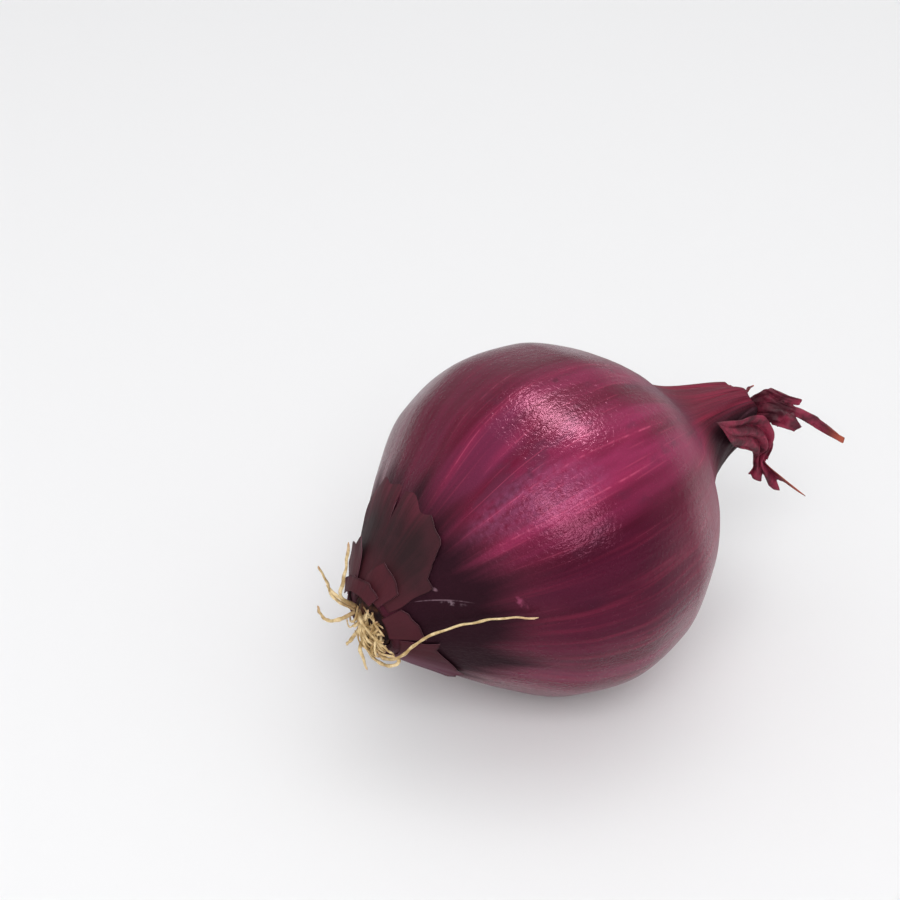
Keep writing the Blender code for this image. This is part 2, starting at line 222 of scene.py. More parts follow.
# Tones as 8-bit sRGB. The bulb's skin
STREAK_DARK, STREAK_LIGHT = (98, 20, 46), (142, 44, 82)
CLOUD, HAIRLINE, BLOTCH, SPOT = (112, 46, 78), (166, 50, 92), (84, 42, 62), (52, 20, 34)
VEIN_GLOW, VEIN, FINE_VEIN = (172, 48, 90), (206, 88, 122), (188, 72, 104)
# The far side's tone is painted shade; the near and low sides' tones are partly the skin's own colour and
# partly painted shade.
FAR_SIDE_SHADE, NEAR_TONE_AND_SHADE, LOW_TONE_AND_SHADE, LOW_LINE = (80, 18, 37), (44, 2, 19), (66, 16, 32), (122, 34, 58)
# The ring where the neck starts is painted shade in the crease.
SHOULDER, NECK_CREASE_SHADE, LIP_AT_PLATE = (134, 56, 76), (78, 22, 40), (66, 22, 34)
# The warm and dark zones by the scraps are partly the skin's own colour and partly painted shade.
WARM_ZONE_AND_SHADE, DARK_ZONE_AND_SHADE = (80, 30, 44), (9, 2, 5)
NECK_DARK, NECK_LIGHT, NECK_CLOUD, NECK_SHADE = (76, 16, 30), (146, 32, 58), (78, 32, 42), (10, 2, 4)

# The scraps: dark, light and streak of each kind, then what they share
TORN_SKIN_TONES = (38, 15, 20), (50, 21, 28), (63, 23, 32)
ROOT_SCALE_TONES = (46, 16, 23), (69, 24, 33), (84, 31, 38)
# The scraps' tone on the low side is painted light from the floor.
SCRAP_FOOT, SCRAP_FLOOR_LIGHT, SCRAP_RIM = (74, 24, 34), (104, 60, 78), (74, 24, 36)
# The torn edge's tone is partly its own and partly a painted shadow line.
SCRAP_TORN_AND_SHADOW, SCRAP_INNER = (26, 9, 13), (150, 98, 112)
JOIN_DARK, JOIN_LIGHT = (70, 21, 34), (98, 29, 48)

# The roots, the plate and the leaf ends
STRAW_DARK, STRAW_LIGHT = (174, 143, 94), (236, 212, 165)
STRAW_FOOT, STRAW_TIP = (120, 80, 40), (206, 160, 132)
# The plate's dark tone is partly its own and partly painted shade between the roots.
PLATE_DARK_AND_SHADE, PLATE_LIGHT = (28, 13, 15), (74, 42, 28)
LEAF_DARK, LEAF_LIGHT, LEAF_VEIN = (72, 17, 33), (138, 40, 66), (70, 18, 34)
# The mouth tone is painted shade.
LEAF_MOUTH_SHADE, LEAF_TIP = (22, 6, 12), (172, 82, 58)

VEINS, FINE_VEINS = 37, 83
SKIN_SHINE = (1.0, 0.34, 0.54, 1.0)

# Marks on the bulb: both ends as (s, degrees), width in mm, the grain they show in, share and tone
MARKS = {
    "scratch": ((3.8, 44.5), (13.6, 63), 0.2, (0.2, 0.6), 0.6, (118, 96, 106)),
    "scuffs": ((8.4, 55), (12.2, 62.5), 0.7, (0.42, 0.7), 0.75, (132, 112, 122)),
    "fleck": ((8.1, 43), (9.2, 47), 0.6, (0.34, 0.66), 0.6, (140, 110, 122)),
    "rose_spot": ((19.0, 65.5), (20.9, 70.5), 1.5, (0.36, 0.66), 0.75, (140, 64, 92)),
    # Painted sheen: a mauve haze where the front highlight falls on the near side.
    "painted_sheen": ((15.0, 31), (46.0, 40), 7.0, (0.1, 0.8), 0.34, (152, 88, 126)),
}


def linear(colour):
    """The linear colour of an 8-bit sRGB one, with full opacity."""
    share = np.array(colour) / 255.0
    return (*np.where(share <= 0.04045, share / 12.92, ((share + 0.055) / 1.055) ** 2.4), 1.0)


class Tree:
    """The nodes of one material, with short calls for the ones used here."""

    def __init__(self, name):
        self.material = bpy.data.materials.new(name)
        self.material.use_nodes = True
        self.nodes = self.material.node_tree.nodes
        self.links = self.material.node_tree.links
        self.shader = self.nodes["Principled BSDF"]
        self.solid = self.node("TexCoord", {}).outputs["Object"]

    def node(self, kind, values, **settings):
        """A node with its settings; each value is a number, a colour or another node's output."""
        made = self.nodes.new("ShaderNode" + kind)
        for name, value in settings.items():
            setattr(made, name, value)
        for key, value in values.items():
            self.put(made.inputs[key], value)
        return made

    def put(self, socket, value):
        if isinstance(value, bpy.types.NodeSocket):
            self.links.new(value, socket)
        else:
            socket.default_value = value

    def attribute(self, name):
        """The value that the mesh holds under that name at each point."""
        return self.node("Attribute", {}, attribute_name=name)

    def scaled(self, vector, x, y, z):
        return self.node("VectorMath", {0: vector, 1: (x, y, z)}, operation="MULTIPLY").outputs[0]

    def noise(self, vector, scale, detail=2.0, roughness=0.5, distortion=0.0):
        return self.node("TexNoise", {"Vector": vector, "Scale": scale, "Detail": detail,
                                      "Roughness": roughness, "Distortion": distortion}).outputs["Fac"]

    def math(self, operation, a, b=0.0):
        return self.node("Math", {0: a, 1: b}, operation=operation).outputs[0]

    def both(self, a, b):
        """The product: 1 only where both are 1."""
        return self.math("MULTIPLY", a, b)

    def inverse(self, value):
        return self.math("SUBTRACT", 1.0, value)

    def step(self, value, low, high):
        """0 where the value is under low, 1 over high, and smooth between; it falls if low is larger."""
        return self.node("MapRange", {"Value": value, "From Min": low, "From Max": high},
                         interpolation_type="SMOOTHSTEP").outputs[0]

    def mix(self, share, a, b):
        return self.node("Mix", {0: share, 6: a, 7: b}, data_type="RGBA").outputs[2]

    def tint(self, colour, mask, share, tone):
        """The colour, taken toward the tone by that share where the mask is 1."""
        return self.mix(self.both(mask, share), colour, linear(tone))

    def bump(self, height, strength, distance, under=None):
        values = {"Height": height, "Strength": strength, "Distance": distance}
        if under is not None:
            values["Normal"] = under
        return self.node("Bump", values).outputs[0]

    def finish(self, colour, roughness, normal, specular):
        """The material, once the shader has its colour, roughness, normal and specular level."""
        inputs = self.shader.inputs
        self.put(inputs["Base Color"], colour)
        self.put(inputs["Roughness"], roughness)
        self.put(inputs["Normal"], normal)
        inputs["Specular IOR Level"].default_value = specular
        return self.material


class Skin(Tree):
    """The nodes of a skin whose patterns follow the bulb, read from the place of each point."""

    def __init__(self, name):
        super().__init__(name)
        self.where = self.attribute("place").outputs["Vector"]
        self.up, near, self.along = self.node("SeparateXYZ", {0: self.where}).outputs
        self.turn = self.math("ARCTAN2", near, self.up)

    def grain(self, stretch, scale, detail=2.0, roughness=0.5):
        """Noise over the skin, drawn out from end to end as the stretch gets smaller."""
        return self.noise(self.scaled(self.where, 1, 1, stretch), scale, detail, roughness)

    def facing(self, up, near):
        """How squarely the skin faces that way round the axis: 1 there, -1 opposite."""
        return self.node("VectorMath", {0: self.where, 1: (up, near, 0.0)},
                         operation="DOT_PRODUCT").outputs["Value"]

    def veins(self, drift, count, width):
        """1 on lines from end to end, so many round the bulb, pushed aside by the drift."""
        phase = self.math("ADD", self.both(self.turn, count / (2 * math.pi)), drift)
        away = self.math("ABSOLUTE", self.math("SUBTRACT", self.math("FRACT", phase), 0.5))
        return self.inverse(self.step(away, 0.0, width))

    def mark(self, first, last, width):
        """1 on a short mark between two places (s, degrees), fading out to 0 at its ends and width."""
        slope = math.radians(last[1] - first[1]) * BULB_RADIUS / (last[0] - first[0])
        start = math.radians(first[1]) - slope * first[0] / BULB_RADIUS
        middle = (first[0] + last[0]) / 2
        off = self.math("SUBTRACT", self.turn, self.math("ADD", start, self.both(self.along, slope)))
        off = self.math("DIVIDE", self.both(off, float(radius_at(middle))), width)
        ahead = self.both(self.math("SUBTRACT", self.along, middle / BULB_RADIUS),
                          2 * BULB_RADIUS / (last[0] - first[0]))
        far = self.math("ADD", self.both(off, off), self.both(ahead, ahead))
        return self.inverse(self.step(far, 0.1, 1.1))


def ground(t, streak, hair, broad):
    """The skin's ground: soft crimson streaks, clouds, hairlines and dull blotches."""
    colour = t.mix(t.step(streak, 0.36, 0.64), linear(STREAK_DARK), linear(STREAK_LIGHT))
    colour = t.tint(colour, t.step(broad, 0.48, 0.62), 0.6, CLOUD)
    colour = t.tint(colour, t.step(hair, 0.45, 0.72), 0.14, HAIRLINE)
    return t.tint(colour, t.step(t.grain(0.6, 6.0, 3.0, 0.6), 0.56, 0.7), 0.5, BLOTCH)


def veined(t, colour, broad):
    """Pink veins, broken here and there, each in a wider glow, with finer ones between."""
    drift = t.both(t.grain(0.16, 2.6, 1.0), 2.2)
    shown = t.step(t.grain(0.45, 4.6, 1.0), 0.44, 0.66)
    broken = t.step(t.grain(0.7, 19.0, 2.0, 0.6), 0.36, 0.56)
    vein = t.both(t.veins(drift, VEINS, 0.04), t.both(shown, broken))
    glow = t.both(t.veins(drift, VEINS, 0.3), t.both(shown, broad))
    fine = t.both(t.veins(drift, FINE_VEINS, 0.09), t.step(t.grain(0.6, 6.5, 1.0), 0.48, 0.64))
    colour = t.tint(colour, glow, 0.75, VEIN_GLOW)
    colour = t.tint(colour, vein, 0.62, VEIN)
    colour = t.tint(colour, fine, 0.32, FINE_VEIN)
    return t.tint(colour, t.step(t.noise(t.solid, 210.0, 1.0), 0.72, 0.8), 0.5, SPOT)


def shaded_round(t, colour, hair):
    """Deeper colour on the near and low sides, partly the skin's own and partly painted shade, painted
    shade on the far side, faint lines low down, a paler shoulder.
    """
    # Painted shade: the far side, from just past the top round to the back, is darkened.
    colour = t.tint(colour, t.inverse(t.step(t.turn, -0.35, 0.45)), 0.78, FAR_SIDE_SHADE)
    # Partly the skin's own colour, partly painted shade: the near side is deepened.
    near = t.both(t.step(t.turn, 0.7, 1.1), t.inverse(t.step(t.turn, 1.5, 2.2)))
    near = t.both(near, t.inverse(t.step(t.along, 1.4, 1.9)))
    colour = t.tint(colour, near, 0.86, NEAR_TONE_AND_SHADE)
    # Partly the skin's own colour, partly painted shade: the low side is deepened.
    colour = t.tint(colour, t.step(t.turn, 1.6, 2.3), 0.66, LOW_TONE_AND_SHADE)
    lines = t.both(t.step(hair, 0.46, 0.7), t.step(t.turn, 0.8, 1.3))
    colour = t.tint(colour, lines, 0.4, LOW_LINE)
    return t.tint(colour, t.both(t.step(t.along, 1.1, 1.7), t.step(t.turn, 0.7, 1.2)), 0.5, SHOULDER)


def past_scraps(t, streak):
    """How far the skin is past the dark zone by the scraps, which is wider on the near side; the zone is
    partly the skin's colour and partly painted shade.
    """
    limit = t.math("ADD", 0.35, t.both(t.step(t.facing(0.26, 0.966), 0.6, 0.98), 0.14))
    limit = t.math("ADD", limit, t.both(t.step(t.turn, 0.6, 0.1), 0.07))
    uneven = t.both(t.math("SUBTRACT", streak, 0.5), 0.4)
    return t.math("SUBTRACT", t.math("ADD", t.along, uneven), limit)


def neck_coloured(t, colour, hair, broad):
    """A ring of painted shade where the neck starts, a dull lip at the plate, and the neck's folds and
    painted shade.
    """
    # Painted shade in the crease where the neck starts.
    ring = t.both(t.step(t.along, 1.72, 1.95), t.inverse(t.step(t.turn, 0.5, 1.1)))
    colour = t.tint(colour, ring, 0.6, NECK_CREASE_SHADE)
    colour = t.tint(colour, t.inverse(t.step(t.along, 0.03, 0.09)), 0.8, LIP_AT_PLATE)
    neck = t.mix(t.step(hair, 0.25, 0.75), linear(NECK_DARK), linear(NECK_LIGHT))
    neck = t.tint(neck, t.step(broad, 0.42, 0.58), 0.5, NECK_CLOUD)
    colour = t.mix(t.both(t.step(t.along, 1.95, 2.2), 0.85), colour, neck)
    shade = t.both(t.step(t.along, 2.0, 2.22), t.step(t.facing(-0.5, 0.866), 0.0, 0.55))
    return t.tint(colour, shade, 0.97, NECK_SHADE)


def bulb_material():
    """Glossy dry skin: veins that run from end to end, soft streaks, dull patches, fine crackle."""
    t = Skin("onion skin")
    broad = t.grain(0.5, 2.4, 2.0)
    streak = t.grain(0.14, 5.0, 3.0, 0.55)
    hair = t.grain(0.05, 24.0, 3.0, 0.6)
    colour = veined(t, ground(t, streak, hair, broad), broad)
    colour = shaded_round(t, colour, hair)
    past = past_scraps(t, streak)
    # The zone by the scraps: partly the skin's own colour, partly painted shade.
    dark = t.inverse(t.step(past, -0.14, 0.12))
    colour = t.tint(colour, t.inverse(t.step(past, -0.1, 0.3)), 0.6, WARM_ZONE_AND_SHADE)
    colour = t.tint(colour, dark, 0.98, DARK_ZONE_AND_SHADE)
    colour = neck_coloured(t, colour, hair, broad)
    speckle = t.noise(t.solid, 900.0, 2.0)
    for first, last, width, shown, share, tone in MARKS.values():
        colour = t.tint(colour, t.both(t.mark(first, last, width), t.step(speckle, *shown)), share, tone)

    crackle = t.noise(t.solid, 1100.0, 2.0, 0.6, 0.6)
    dull = t.math("MAXIMUM", t.step(t.along, 1.5, 2.2), dark)
    rough = t.math("ADD", 0.17, t.both(crackle, 0.16))
    rough = t.math("ADD", rough, t.both(dull, 0.4))
    relief = t.bump(t.grain(0.3, 40.0, 2.0, 0.6), 0.12, 0.0004, t.bump(hair, 0.2, 0.0004))
    relief = t.bump(crackle, 0.44, 0.0003, relief)
    t.shader.inputs["Specular Tint"].default_value = SKIN_SHINE
    return t.finish(colour, rough, relief, 0.3)


def scrap_material(name, tones, roughness):
    """Dull dry skin: streaks and blotches, redder at its foot, dark at the torn edge in part as painted
    shadow, paler below as painted floor light, pale inside.

    Over the top of the root end it takes the bulb's own colour, so that the patch joins the bulb.
    """
    dark, light, line = tones
    t = Skin(name)
    rim = t.attribute("edge").outputs["Fac"]
    streak = t.grain(0.12, 12.0, 3.0, 0.6)
    fibre = t.grain(0.05, 80.0, 2.0, 0.6)
    blotch = t.noise(t.solid, 120.0, 3.0, 0.6)
    colour = t.mix(t.step(blotch, 0.38, 0.64), linear(dark), linear(light))
    colour = t.tint(colour, t.step(streak, 0.4, 0.7), 0.4, line)
    colour = t.tint(colour, t.step(fibre, 0.5, 0.75), 0.12, light)
    colour = t.tint(colour, t.inverse(t.step(t.along, 0.06, 0.2)), 0.6, SCRAP_FOOT)
    join = t.both(t.step(t.along, 0.24, 0.42), t.inverse(t.step(t.turn, 0.0, 0.36)))
    join = t.both(join, t.step(t.turn, -1.4, -0.9))
    bulb_tone = t.mix(t.step(streak, 0.36, 0.7), linear(JOIN_DARK), linear(JOIN_LIGHT))
    colour = t.mix(t.both(join, 0.8), colour, bulb_tone)
    # Painted light: scraps on the low side of the bulb are paler, as if lit from the floor.
    below = t.math("SUBTRACT", 0.0, t.up)
    colour = t.tint(colour, t.step(below, 0.25, 0.7), 0.7, SCRAP_FLOOR_LIGHT)
    outer = t.inverse(t.math("MAXIMUM", t.step(rim, 0.02, 0.3), join))
    colour = t.tint(colour, outer, 0.35, SCRAP_RIM)
    # The dark torn edge: partly the skin's own edge, partly a painted shadow line under the lifted edge.
    torn = t.inverse(t.math("MAXIMUM", t.step(rim, 0.0, 0.035), join))
    colour = t.tint(colour, torn, 0.5, SCRAP_TORN_AND_SHADOW)
    colour = t.tint(colour, t.attribute("inner").outputs["Fac"], 0.85, SCRAP_INNER)
    rough = t.math("ADD", roughness - 0.12, t.both(blotch, 0.24))
    relief = t.bump(t.noise(t.solid, 900.0, 2.0, 0.6), 0.25, 0.0003, t.bump(streak, 0.2, 0.0005))
    return t.finish(colour, rough, relief, 0.18)


def root_material():
    """Straw-coloured dry roots, browner near the plate, with fine specks."""
    t = Tree("dry root")
    along = t.attribute("along").outputs["Fac"]
    speckle = t.noise(t.solid, 420.0, 3.0, 0.6)
    colour = t.mix(t.step(speckle, 0.35, 0.68), linear(STRAW_DARK), linear(STRAW_LIGHT))
    colour = t.tint(colour, t.inverse(t.step(along, 0.0, 0.3)), 0.7, STRAW_FOOT)
    colour = t.tint(colour, t.step(along, 0.86, 1.0), 0.5, STRAW_TIP)
    return t.finish(colour, 0.7, t.bump(t.noise(t.solid, 1600.0, 3.0, 0.6), 0.5, 0.0003), 0.3)


def plate_material():
    """The root plate between the roots: dark brown, partly its own colour and partly painted shade, and
    rough.
    """
    t = Tree("root plate")
    speckle = t.noise(t.solid, 500.0, 3.0, 0.6)
    colour = t.mix(t.step(speckle, 0.42, 0.68), linear(PLATE_DARK_AND_SHADE), linear(PLATE_LIGHT))
    return t.finish(colour, 0.85, t.bump(speckle, 0.8, 0.0006), 0.2)


def leaf_material():
    """Withered leaf: plum to crimson, veined lengthwise, painted shade at the mouth, rust at the torn tips.
    """
    t = Tree("withered leaf")
    where = t.attribute("place").outputs["Vector"]
    vein = t.noise(t.scaled(where, 1, 1, 0.12), 26.0, 3.0, 0.6)
    blotch = t.noise(t.solid, 200.0, 3.0, 0.6)
    colour = t.mix(t.step(blotch, 0.36, 0.64), linear(LEAF_DARK), linear(LEAF_LIGHT))
    colour = t.tint(colour, t.step(vein, 0.45, 0.7), 0.4, LEAF_VEIN)
    # Painted shade where the leaf leaves the neck's mouth, from the dim value of each point.
    colour = t.tint(colour, t.attribute("dim").outputs["Fac"], 0.85, LEAF_MOUTH_SHADE)
    colour = t.mix(t.step(t.attribute("tip").outputs["Fac"], 0.55, 1.0), colour, linear(LEAF_TIP))
    relief = t.bump(blotch, 0.6, 0.001, t.bump(vein, 0.6, 0.0008))
    relief = t.bump(t.noise(t.solid, 800.0, 2.0, 0.6), 0.35, 0.0003, relief)
    return t.finish(colour, 0.6, relief, 0.25)


# Pieces

def bulb(finish):
    """Rings of points at s and a: the dish, the skin with neck creases, the lip and the cup.

    The skin's radius is skin_radius(s, a) - .8 n (1 - |sin(3.5 a + .9 sin 2a + .05 s)|)^4 with n the
    neck's share, and points under the floor are laid flat on it.
    """
    angle = np.linspace(0, 2 * math.pi, BULB_SECTORS, endpoint=False)
    s = np.linspace(0.0, AXIS_LENGTH - 1.6, BULB_ROWS)[:, None] * np.ones(BULB_SECTORS)
    turn = angle[None, :] * np.ones((BULB_ROWS, 1))
    neck = neck_share(s)
    crease = 0.8 * neck * (1 - np.abs(np.sin(3.5 * turn + 0.9 * np.sin(2 * turn) + 0.05 * s))) ** 4
    fine = 0.12 * neck * np.sin(23 * turn + 2 * np.sin(0.2 * s))
    uneven = 0.1 * ripple(s / 9.0, 3) * np.sin(2 * turn + 1.0) * (1 - neck)
    body = around(s, turn, skin_radius(s, turn) - crease + fine + uneven)
    ragged = AXIS_LENGTH - 0.8 + 0.7 * np.sin(3 * angle) + 0.4 * np.sin(7 * angle + 1.0)
    start = [(1.6, 0.2), (1.6, 5.9), (0.0, 6.1)]
    end = [(ragged, skin_radius(ragged, angle) - 0.1), (ragged + 0.1, skin_radius(ragged, angle) - 0.5),
           (ragged - 0.4, 4.6), (AXIS_LENGTH - CUP_DEPTH, 3.8), (AXIS_LENGTH - CUP_DEPTH, 0.2)]
    first = [around(at_s, angle, radius) for at_s, radius in start]
    last = [around(at_s, angle, radius) for at_s, radius in end]
    points = np.concatenate([np.stack(first), body, np.stack(last)])
    points[..., 2] = np.maximum(points[..., 2], 0.0)
    rows = len(points)
    faces = grid_quads(rows, BULB_SECTORS, closed=True).tolist()
    faces.append(list(range(BULB_SECTORS))[::-1])
    faces.append(list(range((rows - 1) * BULB_SECTORS, rows * BULB_SECTORS)))
    station = np.concatenate([[np.broadcast_to(at_s, BULB_SECTORS) for at_s, radius in start], s,
                              [np.broadcast_to(at_s, BULB_SECTORS) for at_s, radius in end]])
    new_piece("onion_bulb", points.reshape(-1, 3), faces, finish, "bulb_skin", ("bulb",),
              place=place(station, angle[None, :]))


def scrap(name, start, edge, layer, curl, seed, finish, slot, close_to=FREE_ALL_ROUND):
    """A torn piece of dry skin, over s from start to reach(a), its free edge lifting and uneven.

    lift = .3 + .75 layer + curl reach t^3 + .12 ripple t^2 - .8 sunk w^2, with t from 0 at the root
    to 1 at the edge, and w from 0 to 1 over the last quarter of t. Up to the angle close_to the edge
    has no teeth and no curl, and where its reach is over 15 mm it is sunk into the bulb, so that the
    skin joins the bulb with no step. The teeth are straight lines between seeded corners.
    """
    edge = np.array(edge, float)
    count = int((edge[-1, 0] - edge[0, 0]) / 0.5)
    degrees = np.linspace(edge[0, 0], edge[-1, 0], count)
    reach = np.interp(degrees, edge[:, 0], edge[:, 1])
    size = np.clip(reach / 12.0, 0.25, 1.0)
    chance = np.random.default_rng(seed + 1)
    corners = degrees[0] + np.concatenate([[0.0], np.cumsum(chance.uniform(1.5, 8.0, TEETH))])
    teeth = np.interp(degrees, corners, chance.uniform(-1.0, 1.0, TEETH + 1))
    free = np.clip((degrees - close_to) / 8.0, 0, 1)
    fine = 0.03 * ripple(degrees * 2, seed + 2)
    reach = reach + size * (0.25 * ripple(degrees * 0.25, seed) + free * (fine + 0.5 * teeth))
    curl = curl * free
    t = (1 - (1 - np.linspace(0, 1, 30)) ** 1.5)[:, None]
    s = start + (reach - start) * t
    side = np.clip(1 - np.minimum(degrees - degrees[0], degrees[-1] - degrees) / 6.0, 0, 1)
    turn = np.radians(degrees + 1.6 * side * ripple(s / 1.6, seed + 3))
    lift = (0.3 + 0.75 * layer + curl * reach * t ** 3 + 0.12 * ripple(degrees * 0.25, seed + 4) * t ** 2)
    sunk = (1 - free) * np.clip((reach - start - 12.5) / 2.5, 0, 1)
    lift = lift - 0.8 * sunk * np.clip((t - 0.75) / 0.25, 0, 1) ** 2
    points, faces = shell(skin(s, turn, lift), SKIN_THICKNESS)
    away = np.minimum((1 - t) * (reach - start) / 12.0,
                      np.minimum(degrees - degrees[0], degrees[-1] - degrees) / 30.0)
    new_piece("dry_" + name, points, faces, finish, slot, (name,),
              place=np.tile(place(s, turn), (2, 1)), edge=np.tile(away.ravel(), 2),
              inner=np.repeat([0.0, 1.0], s.size))


def scraps(torn, stiff):
    """The torn skin and the small scales, each as (start, layer, curl, edge of (degrees, reach))."""
    skins = [
        (0.8, 0, 0.03, [(-75, 14), (-58, 16.5), (-40, 18), (-24, 17.5), (-18.8, 17.3), (-16.9, 10.0),
                        (-15.0, 17.0), (0, 16.5), (18, 14.4), (26, 13.4), (31, 10.4), (37, 8.6),
                        (44, 8.4)]),
        (-0.6, 0, 0.05, [(48, 2.6), (56, 3.4), (66, 3.9), (76, 4.2), (86, 4.6)]),
        (0.8, 0, 0.04, [(90, 6.2), (98, 6.2), (106, 7.0), (116, 8.6), (127, 10.7), (133, 9.6), (144, 11.4),
                        (152, 10.2)]),
        (0.8, 0, 0.03, [(160, 7.5), (172, 9.5), (184, 8), (197, 10.5), (215, 8.5)]),
        (0.8, 0, 0.03, [(222, 11), (236, 15), (246, 13), (262, 16), (278, 12.5)]),
    ]
    for number, (start, layer, curl, edge) in enumerate(skins, 1):
        scrap(f"torn_skin_{number}", start, edge, layer, curl, 10 * number, torn, "torn_skin",
              10.0 if number == 1 else FREE_ALL_ROUND)
    scales = [
        (-0.2, 1, 0.12, [(-72, 4.6), (-60, 6.6), (-48, 6.2), (-38, 6.6), (-30, 4.8)]),
        (-0.2, 1, 0.06, [(-12, 2.6), (-4, 3.4), (3, 5.0), (18, 4.6), (32, 3.6)]),
        (-0.2, 1, 0.05, [(172, 4.2), (190, 5.2), (205, 4.4), (226, 5.0)]),
        (-0.2, 1, 0.08, [(236, 5.4), (252, 6.4), (264, 5.2), (276, 5.8)]),
        (-1.0, 2, 0.10, [(-58, 0.9), (-40, 1.3), (-20, 1.0), (0, 1.3), (22, 0.9)]),
    ]
    for number, (start, layer, curl, edge) in enumerate(scales, 1):
        scrap(f"root_scale_{number}", start, edge, layer, curl, 100 + 10 * number, stiff, "root_scale")


def tube(path, radius, seed):
    """Rings round a path, of radius (1.1 - .5 t)(1 + .12 ripple) tapering at the tip; t runs 0 to 1."""
    count = len(path)
    heading = unit(np.gradient(path, axis=0))
    side = np.cross(heading[0], (0.3, 0.5, 0.8))
    sides = []
    for ahead in heading:
        side = side - ahead * (side @ ahead)
        side = side / np.linalg.norm(side)
        sides.append(side)
    sides = np.array(sides)
    over = np.cross(heading, sides)
    t = np.linspace(0, 1, count)
    thickness = radius * (1.1 - 0.5 * t) * (1 + 0.12 * ripple(np.arange(count) * 0.8, seed))
    thickness[-1] *= 0.3
    turns = np.linspace(0, 2 * math.pi, ROOT_SIDES, endpoint=False)
    flat = 1 - 0.2 * np.cos(2 * turns + seed)
    ring = (np.multiply.outer(thickness, np.cos(turns) * flat)[..., None] * sides[:, None, :]
            + np.multiply.outer(thickness, np.sin(turns) * flat)[..., None] * over[:, None, :])
    return path[:, None, :] + ring, t


def joined_tubes(name, tubes, finish, slot, replaced=()):
    """One mesh of several tubes with closed ends."""
    points, faces, along, first = [], [], [], 0
    for rings, t in tubes:
        rows, columns = rings.shape[:2]
        points.append(rings.reshape(-1, 3))
        faces += (grid_quads(rows, columns, closed=True) + first).tolist()
        faces.append([first + k for k in range(columns)][::-1])
        faces.append([first + (rows - 1) * columns + k for k in range(columns)])
        along.append(np.repeat(t, columns))
        first += rows * columns
    return new_piece(name, np.concatenate(points), faces, finish, slot, replaced,
                     along=np.concatenate(along))


def roots(finish):
    """The mat of roots that drape down over the plate, and the strays that leave it.

    A root of the mat starts at a seeded place of the disc and runs down it with a slowly changing
    heading h: its place is the running sum of (cos h, sin h), its height over the plate
    h0 sin(.8 pi t), and a path that would leave the plate too far is drawn shorter.
    """
    chance = np.random.default_rng(5)
    tubes = []
    t = np.linspace(0, 1, ROOT_STEPS)
    for index in range(MAT_ROOTS):
        bearing, foot = index * GOLDEN_ANGLE, MAT_RADIUS * math.sqrt((index + 0.5) / MAT_ROOTS)
        heading = math.radians(chance.uniform(85, 205)) + chance.uniform(-1.6, 1.6) * t
        heading = heading + 0.3 * ripple(6 * t, 200 + index)
        length = chance.uniform(5.0, 11.0)
        for attempt in range(8):
            up = foot * math.cos(bearing) + np.cumsum(np.cos(heading)) * length / ROOT_STEPS
            near = foot * math.sin(bearing) + np.cumsum(np.sin(heading)) * length / ROOT_STEPS
            if math.hypot(up[-1], near[-1]) < MAT_REACH:
                break
            length *= 0.8
        height = chance.uniform(0.7, 2.8)
        s = -0.9 - height * np.sin(0.8 * math.pi * t) + 0.12 * ripple(5 * t, 300 + index) * t
        path = around(s, np.arctan2(near, up), np.hypot(up, near))
        tubes.append(tube(path, chance.uniform(0.2, 0.34), index))
    long_root = [(-1.2, 150, 4.2), (-2.4, 128, 7.4), (-1.2, 104, 10.4), (1.2, 86, 12.5), (4.4, 75, 15.6),
                 (10.0, 72, 19.9), (15.5, 72, 25.1), (21.0, 74, 30.3)]
    strays = [
        [(-1.2, -70, 4.5), (-3.8, -38, 7.5), (-4.2, -10, 12), (-3.6, 0, 18), (-3.2, 4, 25)],
        [(-1.2, -80, 4.5), (-3.7, -68, 8.3), (-4.5, -48, 11.8), (-5.0, -38, 15.5)],
        [(-1.2, -62, 4.4), (-3.6, -60, 8.5), (-4.0, -58, 11.5)],
        [(-1.2, -88, 4.5), (-3.5, -104, 6.5), (-5.5, -108, 9), (-6.6, -97, 9.8), (-7.0, -82, 10.2)],
        [(-1.2, -135, 4.5), (-3.2, -145, 9), (-4.0, -146, 11.2)],
        [(-1.2, -152, 4.5), (-3.0, -166, 8.5), (-3.2, -180, 12.6)],
        long_root,
        [(-1.4, -160, 4.0), (-2.6, 172, 6.6), (-2.8, 146, 8.2), (-2.0, 124, 10.0), (-1.0, 110, 10.6),
         (-1.6, 108, 9.0), (-2.4, 118, 7.4), (-2.2, 140, 5.6)],
        [(-1.4, -40, 3.0), (-3.2, 20, 3.0), (-3.0, 80, 5.0), (-2.0, 100, 7.6), (-1.0, 110, 9.0)],
    ]
    for number, route in enumerate(strays):
        points = [around(s, math.radians(degrees), radius) for s, degrees, radius in route]
        path = smooth_path(points, 9)
        wobble = 0.14 * np.stack([ripple(np.arange(len(path)) * 0.5, 400 + 3 * number + k)
                                  for k in range(3)], -1)
        wobble *= np.linspace(0, 1, len(path))[:, None]
        radius = LONG_ROOT_RADIUS if route is long_root else STRAY_RADIUS
        tubes.append(tube(path + wobble, radius, 60 + number))
    joined_tubes("roots", tubes, finish, "root", ("root_tuft",))


